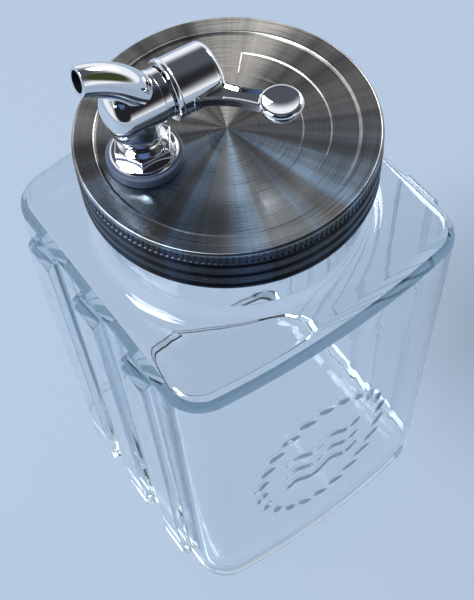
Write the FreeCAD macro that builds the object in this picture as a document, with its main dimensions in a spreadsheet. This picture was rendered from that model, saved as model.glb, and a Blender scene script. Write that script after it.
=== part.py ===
import FreeCAD, Part
import math
import os
import Sketcher
from FreeCAD import Placement, Rotation, Vector

# Square glass dispenser jar with a screw lid and a quarter-turn tap, in millimetres and degrees.
# The origin is the centre of the jar's base. +Z is up, -Y is the bowed front, -X and +X are ribbed.

driving_sizes = {
    # glass jar
    "jar_half_width": 68.5,       # centre to a flat ribbed wall
    "jar_half_depth": 71.0,       # centre to the crown of a bowed wall
    "bow_radius": 400.0,          # curve of the bowed walls, in plan
    "corner_radius": 16.0,        # upright corners, in plan
    "shoulder_height": 206.6,     # base to the flat shoulder
    "shoulder_round": 6.5,        # edge of the shoulder
    "base_round": 5.0,            # edge of the base
    "base_thickness": 9.0,        # glass under the contents
    "base_recess": 1.5,           # hollow under the base
    "base_land": 12.0,            # width of the ring that the jar stands on
    "jar_wall": 4.0,              # glass at the sides and under the shoulder
    "floor_round": 10.0,          # inner edge of the floor
    "neck_radius": 53.4,          # outside of the neck
    "neck_sweep": 8.0,            # hollow curve from shoulder to neck
    "mouth_radius": 48.5,         # inside of the neck
    "jar_height": 254.0,          # base to the rim
    "rim_round": 1.5,             # edges of the rim
    # upright ribs on the flat walls
    "rib_pitch": 34.5,
    "rib_half_width": 8.5,
    "rib_depth": 5.2,             # how far a rib stands out of the wall
    "rib_crown_round": 3.0,       # outer corners of a rib, in plan
    "rib_root_round": 2.5,        # hollow corners where a rib meets the wall, in plan
    "rib_foot": 3.0,              # height of the lower ends
    "rib_top": 203.0,             # height of the rounded heads
    # screw lid and its seal
    "lid_radius": 57.0,           # outside of the skirt's beads
    "lid_depth": 20.5,            # top to the curled lower edge
    "lid_sheet": 0.7,
    "panel_radius": 48.8,         # outer edge of the sunken centre panel
    "panel_drop": 1.0,
    "groove_depth": 0.9,          # between the skirt's beads
    "knurl_width": 4.4,           # band under the top edge
    "bead_width": 3.0,            # each rolled bead
    "curl_width": 2.0,            # lower edge
    "liner_thickness": 1.3,
    "liner_gap": 0.3,             # round the liner's edges
    # tap on the lid
    "tap_x": -31.4,
    "tap_y": 6.4,
    "tap_turn": -4.0,             # valve's axis from the jar's width, in plan
    "axis_height": 26.8,          # lid's top to the axis of the valve
    "shank_radius": 7.0,
    "shank_bore": 4.5,
    "shank_tail": 13.0,           # below the lid's top
    "shank_neck": 11.0,           # lid's top to the foot of the valve body
    "hole_gap": 0.2,              # shank in the lid, gaskets, washer and nuts
    "gasket_radius": 14.0,
    "gasket_thickness": 4.2,
    "flange_radius": 12.5,
    "flange_thickness": 1.6,
    "nut_across": 19.5,           # across flats of the flange nut
    "nut_height": 4.2,            # hexagon of the flange nut
    "nut_recess_radius": 8.5,     # hollow in the top of the flange nut
    "nut_recess_depth": 3.0,
    "inner_gasket_radius": 13.0,
    "inner_gasket_thickness": 2.0,
    "washer_radius": 12.0,
    "washer_thickness": 1.0,
    "lock_nut_across": 20.0,
    "lock_nut_height": 5.0,
    # valve body
    "barrel_radius": 9.4,
    "barrel_back": 12.0,          # tap's axis to the domed end
    "barrel_dome": 6.5,           # round of the domed end
    "barrel_front": 7.0,          # tap's axis to the open end
    "barrel_bore": 6.5,
    "bore_depth": 15.0,           # open end to the floor of the bore
    "bowl_foot_radius": 7.3,
    "bowl_belly_radius": 8.8,     # bowl between shank and barrel, half way up
    "bowl_top_radius": 9.2,
    "barrel_lip": 0.4,            # open end of the barrel to the fronts of bowl and spout
    # spout, a tapering tube on one arc
    "spout_root_z": 5.6,          # start of the arc, above the valve's axis
    "spout_bend": 30.6,           # radius of the arc
    "spout_root_angle": 64.0,     # heading at the start, up from the valve's axis
    "spout_end_angle": 17.0,      # heading at the mouth
    "mouth_tilt": 4.0,            # plane of the mouth, from upright
    "spout_root_radius": 7.0,
    "spout_end_radius": 5.1,
    "spout_wall": 1.3,
    # turning parts of the valve
    "running_gap": 0.05,          # plug in its bore, stem in the bonnet
    "face_gap": 0.1,              # ends of the plug and of the slip ring
    "bonnet_radius": 9.0,
    "bonnet_length": 3.5,
    "bonnet_spigot": 2.0,         # bonnet inside the barrel
    "slip_ring_thickness": 0.8,
    "port_radius": 3.4,
    "stem_radius": 4.0,
    "seal_section": 0.9,          # radius of an O-ring's section
    "seal_gap": 0.05,             # O-ring in its groove
    "seal_offset": 5.2,           # port's axis to the blind end's O-ring
    "square_side": 5.6,           # end of the stem
    "square_length": 6.0,
    "square_gap": 0.05,
    # handle
    "cap_gap": 0.4,               # bonnet to cap
    "cap_radius": 10.8,
    "cap_rim": 0.4,               # rim beside the bonnet stands out by this
    "cap_rim_width": 1.6,
    "cap_length": 18.6,
    "cap_round": 2.5,
    "cap_hollow": 4.0,            # depth of the hollow beside the bonnet
    "cap_wall": 1.8,
    "lever_start": 4.4,           # open end of the cap to the lever's centre line
    "lever_angle": 47.5,          # from the valve's axis
    "lever_reach": 36.8,          # valve's axis to the finger pad, along the lever
    "lever_root_half": 6.8,
    "lever_waist_half": 3.3,
    "lever_end_half": 4.8,        # where it meets the finger pad
    "lever_waist": 23.0,          # valve's axis to the waist, along the lever
    "lever_thickness": 3.2,
    "pad_radius": 7.7,
    "pad_face_radius": 6.2,
    "pad_rise": 2.3,              # finger pad above the lever's middle plane
    "pad_drop": 5.8,              # finger pad below the lever's middle plane
    # screw and cover in the end of the handle
    "screw_radius": 1.5,
    "screw_head_radius": 4.6,
    "screw_head_height": 2.0,
    "screw_grip": 5.0,            # thread in the stem
    "button_radius": 6.0,
    "button_thickness": 1.4,
}

rib_count = 3
seal_flats = 8


class Size:
    """A number together with the sheet expression that gives it."""

    def __init__(self, value, text):
        self.value = value
        self.text = text

    def _with(self, other, sign, value):
        return Size(value, f"({self.text} {sign} {other.text})")

    def __add__(self, other):
        other = size_of(other)
        return self._with(other, "+", self.value + other.value)

    def __sub__(self, other):
        other = size_of(other)
        return self._with(other, "-", self.value - other.value)

    def __mul__(self, other):
        other = size_of(other)
        return self._with(other, "*", self.value * other.value)

    def __truediv__(self, other):
        other = size_of(other)
        return self._with(other, "/", self.value / other.value)

    def __neg__(self):
        return Size(-self.value, f"(0 - {self.text})")


def size_of(number):
    return number if isinstance(number, Size) else Size(float(number), repr(float(number)))


def root(size):
    return Size(math.sqrt(size.value), f"sqrt({size.text})")


def lesser(first, second):
    return Size(min(first.value, second.value), f"min({first.text}; {second.text})")


def sine(angle):
    return Size(math.sin(math.radians(angle.value)), f"sin({angle.text} * 1 deg)")


def cosine(angle):
    return Size(math.cos(math.radians(angle.value)), f"cos({angle.text} * 1 deg)")


doc = FreeCAD.newDocument("dispenser")
sheet = doc.addObject("Spreadsheet::Sheet", "Sizes")
dim = {}
for row, (alias, number) in enumerate(driving_sizes.items(), start=1):
    sheet.set(f"A{row}", alias.replace("_", " "))
    sheet.set(f"B{row}", str(number))
    sheet.setAlias(f"B{row}", alias)
    dim[alias] = Size(number, f"Sizes.{alias}")
doc.recompute()

nil = Size(0.0, "0")
sub_parts = []


def bind(target, prop, size):
    target.setExpression(prop, size.text)


def add_body(label, place=(nil, nil, nil), turn=nil):
    """A new body whose origin stands at place, turned about the upright axis."""
    body = doc.addObject("PartDesign::Body", label)
    body.Label = label
    for prop, size in zip("xyz", place):
        bind(body, f"Placement.Base.{prop}", size)
    if turn is not nil:
        body.setExpression("Placement.Rotation.Angle", f"{turn.text} * 1 deg")
    sub_parts.append(body)
    return body


def add_tap_piece(label, height):
    """A body on the tap's upright axis, with its X along the valve's axis."""
    return add_body(label, (dim["tap_x"], dim["tap_y"], height), dim["tap_turn"])


def add_sketch(body, name, role, aside=nil, up=nil, lift=nil, tilt=nil):
    """A sketch on one of the body's origin planes. Its origin is moved aside and up in that plane
    and lifted off it, and the sketch is then tilted about its own horizontal."""
    sketch = body.newObject("Sketcher::SketchObject", f"{body.Name}_{name}")
    plane = [item for item in body.Origin.OriginFeatures if item.Role == role][0]
    sketch.AttachmentSupport = [(plane, "")]
    sketch.MapMode = "FlatFace"
    offset = Vector(aside.value, up.value, lift.value)
    sketch.AttachmentOffset = Placement(offset, Rotation(Vector(1, 0, 0), tilt.value))
    for prop, size in zip("xyz", (aside, up, lift)):
        bind(sketch, f"AttachmentOffset.Base.{prop}", size)
    if tilt is not nil:
        sketch.setExpression("AttachmentOffset.Rotation.Angle", f"{tilt.text} * 1 deg")
    return sketch


def hold(sketch, rules):
    """Adds the rules, each (constraint, name, size), and binds those that have a size."""
    first = sketch.addConstraint([constraint for constraint, name, size in rules])[0]
    for index, (constraint, name, size) in enumerate(rules, start=first):
        if size is not None:
            sketch.renameConstraint(index, name)
            bind(sketch, f"Constraints.{name}", size)


def point_rules(geometry, point, x, y):
    """Ties a point of the sketch to its distances from the origin, or to an axis where one is nil."""
    rules = []
    for size, kind, axis, word in ((x, "DistanceX", -2, "across"), (y, "DistanceY", -1, "up")):
        if size is nil:
            rules.append((Sketcher.Constraint("PointOnObject", geometry, point, axis), None, None))
        else:
            tie = Sketcher.Constraint(kind, -1, 1, geometry, point, size.value)
            rules.append((tie, f"{word}{geometry}", size))
    return rules


def radius_rule(geometry, size):
    return (Sketcher.Constraint("Radius", geometry, size.value), f"round{geometry}", size)


def arc_between(start, end, bend):
    """The short arc from start to end. It turns left where bend is positive."""
    chord = end - start
    rise = math.sqrt(max(bend * bend - chord.Length ** 2 / 4, 0.0))
    left = Vector(-chord.y, chord.x, 0).normalize()
    centre = (start + end) / 2 + left * math.copysign(rise, bend)
    first, last = (start, end) if bend > 0 else (end, start)
    angles = [math.atan2(point.y - centre.y, point.x - centre.x) for point in (first, last)]
    return Part.ArcOfCircle(Part.Circle(centre, Vector(0, 0, 1), abs(bend)), *angles)


def draw(sketch, corners):
    """A closed outline. A corner is (x, y), or (x, y, bend) where an arc of that radius leads to it."""
    first = sketch.GeometryCount
    ends = []
    for index, corner in enumerate(corners):
        start, end = [Vector(x.value, y.value, 0) for x, y in (corners[index - 1][:2], corner[:2])]
        if len(corner) == 2:
            sketch.addGeometry(Part.LineSegment(start, end), False)
            ends.append((1, 2))
        else:
            sketch.addGeometry(arc_between(start, end, corner[2].value), False)
            ends.append((1, 2) if corner[2].value > 0 else (2, 1))
    rules = []
    for index, corner in enumerate(corners):
        following = (index + 1) % len(corners)
        meeting = (first + index, ends[index][1], first + following, ends[following][0])
        rules.append((Sketcher.Constraint("Coincident", *meeting), None, None))
        rules += point_rules(first + index, ends[index][1], corner[0], corner[1])
        if len(corner) == 3:
            rules.append(radius_rule(first + index, corner[2] if corner[2].value > 0 else -corner[2]))
    hold(sketch, rules)


def draw_circle(sketch, x, y, radius):
    circle = Part.Circle(Vector(x.value, y.value, 0), Vector(0, 0, 1), radius.value)
    geometry = sketch.addGeometry(circle, False)
    hold(sketch, point_rules(geometry, 3, x, y) + [radius_rule(geometry, radius)])


def draw_hexagon(sketch, across):
    """A hexagon about the origin with two flats square to the sketch's upright axis."""
    half = across / 2
    reach = across / math.sqrt(3)
    side = reach / 2
    upper = [(reach, nil), (side, half), (-side, half)]
    draw(sketch, upper + [(-x, -y if y is not nil else nil) for x, y in upper])


def revolve(body, sketch, axis, cut=False):
    kind = "Groove" if cut else "Revolution"
    feature = body.newObject(f"PartDesign::{kind}", f"{sketch.Name}_{kind.lower()}")
    feature.Profile = sketch
    feature.ReferenceAxis = (sketch, [axis])
    feature.Angle = 360
    doc.recompute()
    return feature


def extrude(body, sketch, length, cut=False, both_ways=False, back=False):
    kind = "Pocket" if cut else "Pad"
    feature = body.newObject(f"PartDesign::{kind}", f"{sketch.Name}_{kind.lower()}")
    feature.Profile = sketch
    bind(feature, "Length", length)
    feature.Midplane = both_ways
    feature.Reversed = back
    doc.recompute()
    return feature


def loft(body, sections, cut=False):
    kind = "SubtractiveLoft" if cut else "AdditiveLoft"
    feature = body.newObject(f"PartDesign::{kind}", f"{sections[0].Name}_loft")
    feature.Profile = sections[0]
    feature.Sections = sections[1:]
    doc.recompute()
    return feature


def round_edges(body, feature, radius, chosen):
    """Rounds the edges of the feature's shape for which chosen says yes."""
    names = [f"Edge{index}" for index, edge in enumerate(feature.Shape.Edges, start=1) if chosen(edge)]
    fillet = body.newObject("PartDesign::Fillet", f"{feature.Name}_round{len(body.Group)}")
    fillet.Base = (feature, names)
    bind(fillet, "Radius", radius)
    doc.recompute()
    return fillet


def level_edge(height):
    """Picks the edges that lie all the way round at one height."""
    def chosen(edge):
        box = edge.BoundBox
        return abs(box.ZMin - height.value) < 0.01 and abs(box.ZMax - height.value) < 0.01
    return chosen


def turn_ring(body, inner, outer, thickness):
    """A flat ring about the body's upright axis, standing on its origin."""
    sketch = add_sketch(body, "section", "XZ_Plane")
    draw(sketch, [(inner, nil), (outer, nil), (outer, thickness), (inner, thickness)])
    revolve(body, sketch, "V_Axis")


# Heights and radii that several pieces share
lid_top = dim["jar_height"] + dim["liner_thickness"] + dim["lid_sheet"]
panel_top = lid_top - dim["panel_drop"]
panel_under = panel_top - dim["lid_sheet"]
skirt_groove = dim["lid_radius"] - dim["groove_depth"]
shank_hole = dim["shank_radius"] + dim["hole_gap"]
valve_axis = lid_top + dim["axis_height"]


def add_turned(label, corners):
    """A piece turned about the valve's axis, from (along, radius) corners."""
    body = add_tap_piece(label, valve_axis)
    sketch = add_sketch(body, "section", "XZ_Plane")
    draw(sketch, corners)
    revolve(body, sketch, "H_Axis")
    return body


def draw_footprint(sketch, inset):
    """Plan of the jar, drawn in by inset: two flat sides, two bowed ones and four round corners."""
    half_width = dim["jar_half_width"] - inset
    corner = dim["corner_radius"] - inset
    bow = dim["bow_radius"] - inset
    bow_centre = dim["jar_half_depth"] - dim["bow_radius"]
    centre_x = half_width - corner
    reach = bow - corner
    lift = root(reach * reach - centre_x * centre_x)
    side_end = bow_centre + lift
    bow_x = centre_x * bow / reach
    bow_y = bow_centre + lift * bow / reach
    draw(sketch, [
        (half_width, side_end), (bow_x, bow_y, corner),
        (-bow_x, bow_y, bow), (-half_width, side_end, corner),
        (-half_width, -side_end), (-bow_x, -bow_y, corner),
        (bow_x, -bow_y, bow), (half_width, -side_end, corner),
    ])


def draw_rib(sketch, middle, side):
    """Plan of one rib on the flat wall, with hollow roots and a rounded crown."""
    wall = dim["jar_half_width"]
    buried = wall - dim["rib_root_round"]
    crown = wall + dim["rib_depth"]
    root_r = dim["rib_root_round"]
    crown_r = dim["rib_crown_round"]
    half = dim["rib_half_width"]
    right_half = [
        (buried, half + root_r), (wall, half + root_r),
        (wall + root_r, half, root_r), (crown - crown_r, half),
        (crown, half - crown_r, -crown_r),
    ]
    left_half = [
        (crown, -half + crown_r), (crown - crown_r, -half, -crown_r),
        (wall + root_r, -half), (wall, -half - root_r, root_r),
        (buried, -half - root_r),
    ]
    outline = []
    for x, y, *bend in right_half + left_half:
        turn = [-bend[0] if side < 0 else bend[0]] if bend else []
        outline.append((-x if side < 0 else x, middle + y, *turn))
    draw(sketch, outline)


def add_jar():
    body = add_body("jar")
    footprint = add_sketch(body, "footprint", "XY_Plane")
    draw_footprint(footprint, nil)
    block = extrude(body, footprint, dim["shoulder_height"])
    rounded = round_edges(body, block, dim["shoulder_round"], level_edge(dim["shoulder_height"]))
    round_edges(body, rounded, dim["base_round"], level_edge(nil))

    room = dim["jar_half_width"] - dim["shoulder_round"] - dim["neck_radius"]
    sweep = lesser(dim["neck_sweep"], room)
    rim = dim["rim_round"]
    shoulder = dim["shoulder_height"]
    under = shoulder - dim["jar_wall"]
    neck = add_sketch(body, "neck", "XZ_Plane")
    outside = dim["neck_radius"]
    top = dim["jar_height"]
    draw(neck, [
        (nil, under), (outside + sweep, under), (outside + sweep, shoulder),
        (outside, shoulder + sweep, -sweep), (outside, top - rim),
        (outside - rim, top, rim), (nil, top),
    ])
    revolve(body, neck, "V_Axis")

    ribs = add_sketch(body, "ribs", "XY_Plane", lift=dim["rib_foot"])
    for index in range(rib_count):
        middle = dim["rib_pitch"] * (index - (rib_count - 1) / 2)
        draw_rib(ribs, middle, 1)
        draw_rib(ribs, middle, -1)
    extrude(body, ribs, dim["rib_top"] - dim["rib_foot"])

    # A quarter round off each head, cut across all the ribs of a wall at once
    heads = add_sketch(body, "heads", "XZ_Plane")
    wall = dim["jar_half_width"]
    depth = dim["rib_depth"]
    head = dim["rib_top"]
    crown = wall + depth
    clear = crown + depth
    for side in (1, -1):
        draw(heads, [
            (wall * side, head), (crown * side, head - depth, -depth * side),
            (clear * side, head - depth), (clear * side, head + depth),
            (wall * side, head + depth),
        ])
    extrude(body, heads, dim["jar_half_depth"] * 2, cut=True, both_ways=True)

    recess = add_sketch(body, "recess", "XY_Plane")
    draw_footprint(recess, dim["base_land"])
    extrude(body, recess, dim["base_recess"], cut=True, back=True)

    cavity = add_sketch(body, "cavity", "XY_Plane", lift=dim["base_thickness"])
    draw_footprint(cavity, dim["jar_wall"])
    hollow = extrude(body, cavity, under - dim["base_thickness"], cut=True, back=True)
    round_edges(body, hollow, dim["floor_round"], level_edge(dim["base_thickness"]))

    # The mouth opens into the hollow along a curve that keeps the glass as thick as the wall
    throat = sweep + dim["jar_wall"]
    mouth = add_sketch(body, "mouth", "XZ_Plane")
    inside = dim["mouth_radius"]
    draw(mouth, [
        (nil, under - sweep), (inside + throat, under - sweep), (inside + throat, under),
        (inside, under + throat, -throat), (inside, top - rim), (inside + rim, top, -rim),
        (inside + rim, top + rim), (nil, top + rim),
    ])
    revolve(body, mouth, "V_Axis", cut=True)


def add_lid():
    """Lid of even sheet: sunken panel, knurled band, two rolled beads and a curled lower edge."""
    body = add_body("lid_shell", (nil, nil, lid_top))
    sheet_t = dim["lid_sheet"]
    outer = dim["lid_radius"]
    drop = dim["panel_drop"]
    slope = dim["groove_depth"]
    panel = dim["panel_radius"]
    skirt = []
    level = -slope
    for width in (dim["knurl_width"], dim["bead_width"], dim["bead_width"]):
        skirt += [(outer, level), (outer, level - width)]
        skirt += [(skirt_groove, level - width - slope), (skirt_groove, level - width - slope * 2)]
        level = level - width - slope * 3
    curl_top = -dim["lid_depth"] + dim["curl_width"]
    skirt[-1] = (skirt_groove, curl_top)
    lining = [(radius - sheet_t, height) for radius, height in reversed(skirt)]
    bottom = -dim["lid_depth"]
    curl = [(outer, curl_top - slope), (outer, bottom), (skirt_groove - sheet_t, bottom)]
    top_side = [(nil, -drop), (panel - drop, -drop), (panel, nil), (skirt_groove, nil)]
    under_side = [
        (skirt_groove - sheet_t, -sheet_t), (panel + sheet_t, -sheet_t),
        (panel + sheet_t - drop, -drop - sheet_t), (nil, -drop - sheet_t),
    ]
    section = add_sketch(body, "section", "XZ_Plane")
    draw(section, top_side + skirt + curl + lining + under_side)
    revolve(body, section, "V_Axis")
    hole = add_sketch(body, "hole", "XY_Plane")
    draw_circle(hole, dim["tap_x"], dim["tap_y"], shank_hole)
    extrude(body, hole, dim["lid_depth"], cut=True, both_ways=True)


def add_flange_nut():
    """Hexagon nut on a round flange, hollowed round the shank."""
    body = add_tap_piece("flange_nut", panel_top + dim["gasket_thickness"])
    section = add_sketch(body, "section", "XZ_Plane")
    thick = dim["flange_thickness"]
    edge = thick / 2
    top = thick + dim["nut_height"]
    draw(section, [
        (shank_hole, nil), (dim["flange_radius"], nil), (dim["flange_radius"], edge),
        (dim["flange_radius"] - edge, thick, edge), (shank_hole, thick),
    ])
    revolve(body, section, "V_Axis")
    hexagon = add_sketch(body, "hexagon", "XY_Plane", lift=edge)
    draw_hexagon(hexagon, dim["nut_across"])
    draw_circle(hexagon, nil, nil, shank_hole)
    extrude(body, hexagon, top - edge)
    recess = add_sketch(body, "recess", "XY_Plane", lift=top)
    draw_circle(recess, nil, nil, dim["nut_recess_radius"])
    extrude(body, recess, dim["nut_recess_depth"], cut=True)
    bevel_corners(body, dim["nut_across"], top)


def bevel_corners(body, across, height):
    """Turns the corners off the top of a hexagon nut."""
    section = add_sketch(body, "bevel", "XZ_Plane")
    inner = across / 2
    outer = across * 0.75
    drop = (outer - inner) / 2
    draw(section, [(inner, height), (outer, height - drop), (outer, height + drop), (inner, height + drop)])
    revolve(body, section, "V_Axis", cut=True)


def add_lock_nut():
    height = dim["lock_nut_height"]
    seat = panel_under - dim["inner_gasket_thickness"] - dim["washer_thickness"]
    body = add_tap_piece("lock_nut", seat - height)
    hexagon = add_sketch(body, "hexagon", "XY_Plane")
    draw_hexagon(hexagon, dim["lock_nut_across"])
    draw_circle(hexagon, nil, nil, shank_hole)
    extrude(body, hexagon, height)
    bevel_corners(body, dim["lock_nut_across"], height)


def add_seals():
    """The lid's liner, and the rings that the shank is clamped through."""
    liner_inner = dim["panel_radius"] + dim["lid_sheet"] + dim["liner_gap"]
    liner_outer = skirt_groove - dim["lid_sheet"] - dim["liner_gap"]
    liner = add_body("lid_liner", (nil, nil, dim["jar_height"]))
    turn_ring(liner, liner_inner, liner_outer, dim["liner_thickness"])
    gasket_seat = panel_under - dim["inner_gasket_thickness"]
    washer_seat = gasket_seat - dim["washer_thickness"]
    for label, radius, thickness, seat in (
        ("outer_gasket", dim["gasket_radius"], dim["gasket_thickness"], panel_top),
        ("inner_gasket", dim["inner_gasket_radius"], dim["inner_gasket_thickness"], gasket_seat),
        ("inner_washer", dim["washer_radius"], dim["washer_thickness"], washer_seat),
    ):
        turn_ring(add_tap_piece(label, seat), shank_hole, radius, thickness)


bowl_front = dim["barrel_front"] - dim["barrel_lip"]


def spout_section(body, name, angle, tilt, radius, slip=nil):
    """A circle across the spout where its heading is angle, moved on along that heading by slip."""
    start = dim["spout_root_angle"]
    bend = dim["spout_bend"]
    root_along = bowl_front - dim["spout_root_radius"] * sine(start)
    along = root_along + bend * (sine(angle) - sine(start)) - slip * cosine(angle)
    above = dim["spout_root_z"] + bend * (cosine(angle) - cosine(start)) + slip * sine(angle)
    sketch = add_sketch(body, name, "YZ_Plane", up=above, lift=along, tilt=tilt)
    draw_circle(sketch, nil, nil, radius)
    return sketch


def spout_loft(body, name, root_radius, end_radius, beyond=nil, cut=False):
    """A tapering tube through circles on the spout's arc, from inside the barrel to the mouth.
    It goes beyond both ends of the arc where it is to cut right through."""
    first = dim["spout_root_angle"]
    last = dim["spout_end_angle"]
    middle = (first + last) / 2
    loft(body, [
        spout_section(body, f"{name}_root", first, first, root_radius, -beyond),
        spout_section(body, f"{name}_middle", middle, middle, (root_radius + end_radius) / 2),
        spout_section(body, f"{name}_mouth", last, dim["mouth_tilt"], end_radius, beyond),
    ], cut)


def add_tap_body():
    """Shank, bowl, domed barrel and spout in one casting, with a water way through all of them."""
    body = add_tap_piece("tap_body", valve_axis)
    foot = dim["shank_neck"] - dim["axis_height"]
    shank = add_sketch(body, "shank", "XY_Plane", lift=-dim["axis_height"] - dim["shank_tail"])
    draw_circle(shank, nil, nil, dim["shank_radius"])
    extrude(body, shank, dim["shank_tail"] + dim["shank_neck"])

    belly = dim["bowl_belly_radius"]
    brim = dim["bowl_top_radius"]
    bowl_foot = add_sketch(body, "bowl_foot", "XY_Plane", lift=foot)
    draw_circle(bowl_foot, nil, nil, dim["bowl_foot_radius"])
    bowl_belly = add_sketch(body, "bowl_belly", "XY_Plane", lift=foot / 2)
    draw_circle(bowl_belly, bowl_front - belly, nil, belly)
    bowl_top = add_sketch(body, "bowl_top", "XY_Plane")
    draw_circle(bowl_top, bowl_front - brim, nil, brim)
    loft(body, [bowl_foot, bowl_belly, bowl_top])

    radius = dim["barrel_radius"]
    dome = dim["barrel_dome"]
    barrel = add_sketch(body, "barrel", "XZ_Plane")
    draw(barrel, [
        (-dim["barrel_back"], nil), (dim["barrel_front"], nil), (dim["barrel_front"], radius),
        (dome - dim["barrel_back"], radius), (-dim["barrel_back"], radius - dome, dome),
    ])
    revolve(body, barrel, "H_Axis")
    spout_root = dim["spout_root_radius"]
    spout_end = dim["spout_end_radius"]
    spout_loft(body, "spout", spout_root, spout_end)

    bore = add_sketch(body, "bore", "YZ_Plane", lift=dim["barrel_front"])
    draw_circle(bore, nil, nil, dim["barrel_bore"])
    extrude(body, bore, dim["bore_depth"], cut=True)
    inlet = add_sketch(body, "inlet", "XY_Plane", lift=-dim["axis_height"] - dim["shank_tail"])
    draw_circle(inlet, nil, nil, dim["shank_bore"])
    extrude(body, inlet, dim["axis_height"] + dim["shank_tail"], cut=True, back=True)
    wall = dim["spout_wall"]
    way = spout_end - wall
    spout_loft(body, "way", way, way, wall, cut=True)


# Places along the valve's axis, from the tap's upright axis
bonnet_end = dim["barrel_front"] + dim["bonnet_length"]
plug_back = dim["barrel_front"] - dim["bore_depth"] + dim["face_gap"]
slip_front = dim["barrel_front"] - dim["bonnet_spigot"] - dim["face_gap"]
plug_front = slip_front - dim["slip_ring_thickness"] - dim["face_gap"]
plug_radius = dim["barrel_bore"] - dim["running_gap"]
cap_start = bonnet_end + dim["cap_gap"]
cap_end = cap_start + dim["cap_length"]
square_start = cap_start + dim["cap_hollow"]
square_end = square_start + dim["square_length"]
stem_hole = dim["stem_radius"] + dim["running_gap"]
button_seat = cap_end - dim["button_thickness"]


def seal_groove(middle, surface):
    """Corners of a groove in a turned surface, wide and deep enough for an O-ring."""
    half = dim["seal_section"] + dim["seal_gap"]
    floor = surface + dim["running_gap"] - half * 2
    left = middle - half
    right = middle + half
    return [(left, surface), (left, floor), (right, floor), (right, surface)]


def add_seal(label, middle, surface):
    """An O-ring in the groove at middle of a turned surface. Its section has flats, not a full round."""
    centre = surface + dim["running_gap"] - dim["seal_section"] - dim["seal_gap"]
    corners = []
    for index in range(seal_flats):
        angle = 2 * math.pi * (index + 0.5) / seal_flats
        corners.append((
            middle + dim["seal_section"] * math.cos(angle),
            centre + dim["seal_section"] * math.sin(angle),
        ))
    add_turned(label, corners)


def add_bonnet():
    """Collar on the barrel's open end, with a spigot inside the bore and a hole for the stem."""
    edge = dim["bonnet_radius"] - dim["barrel_bore"]
    inside = dim["barrel_front"] - dim["bonnet_spigot"]
    add_turned("bonnet_ring", [
        (inside, stem_hole), (bonnet_end, stem_hole), (bonnet_end, dim["bonnet_radius"] - edge / 4),
        (bonnet_end - edge / 4, dim["bonnet_radius"]), (dim["barrel_front"], dim["bonnet_radius"]),
        (dim["barrel_front"], plug_radius), (inside, plug_radius),
    ])
    add_turned("thrust_washer", [
        (plug_front + dim["face_gap"], stem_hole), (slip_front, stem_hole), (slip_front, plug_radius),
        (plug_front + dim["face_gap"], plug_radius),
    ])


def add_plug():
    """Plug with a cross port, two O-ring grooves, a stem with one, and a square end for the handle."""
    inner_seal = -dim["seal_offset"]
    outer_seal = plug_front - dim["seal_section"] * 2
    stem_seal = dim["barrel_front"] + dim["bonnet_length"] / 2 - dim["bonnet_spigot"] / 2
    body = add_turned("valve_plug", [
        (plug_back, nil), (square_start, nil), (square_start, dim["stem_radius"]),
        *reversed(seal_groove(stem_seal, dim["stem_radius"])),
        (plug_front, dim["stem_radius"]), (plug_front, plug_radius),
        *reversed(seal_groove(outer_seal, plug_radius)),
        *reversed(seal_groove(inner_seal, plug_radius)),
        (plug_back, plug_radius),
    ])
    square = add_sketch(body, "square", "YZ_Plane", lift=square_start)
    draw_square(square, dim["square_side"] / 2)
    extrude(body, square, dim["square_length"] - dim["face_gap"])
    port = add_sketch(body, "port", "XZ_Plane")
    draw_circle(port, nil, nil, dim["port_radius"])
    extrude(body, port, dim["barrel_bore"] * 3, cut=True, both_ways=True)
    thread = add_sketch(body, "thread", "YZ_Plane", lift=square_end)
    draw_circle(thread, nil, nil, dim["screw_radius"] + dim["running_gap"])
    extrude(body, thread, dim["screw_grip"] + dim["running_gap"], cut=True)
    add_seal("plug_seal_inner", inner_seal, plug_radius)
    add_seal("plug_seal_outer", outer_seal, plug_radius)
    add_seal("stem_seal", stem_seal, dim["stem_radius"])


def waist_bend(run, flare):
    """Radius of an arc that leaves the waist along the lever and gains flare over run."""
    return (run * run + flare * flare) / (flare * 2)


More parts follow.
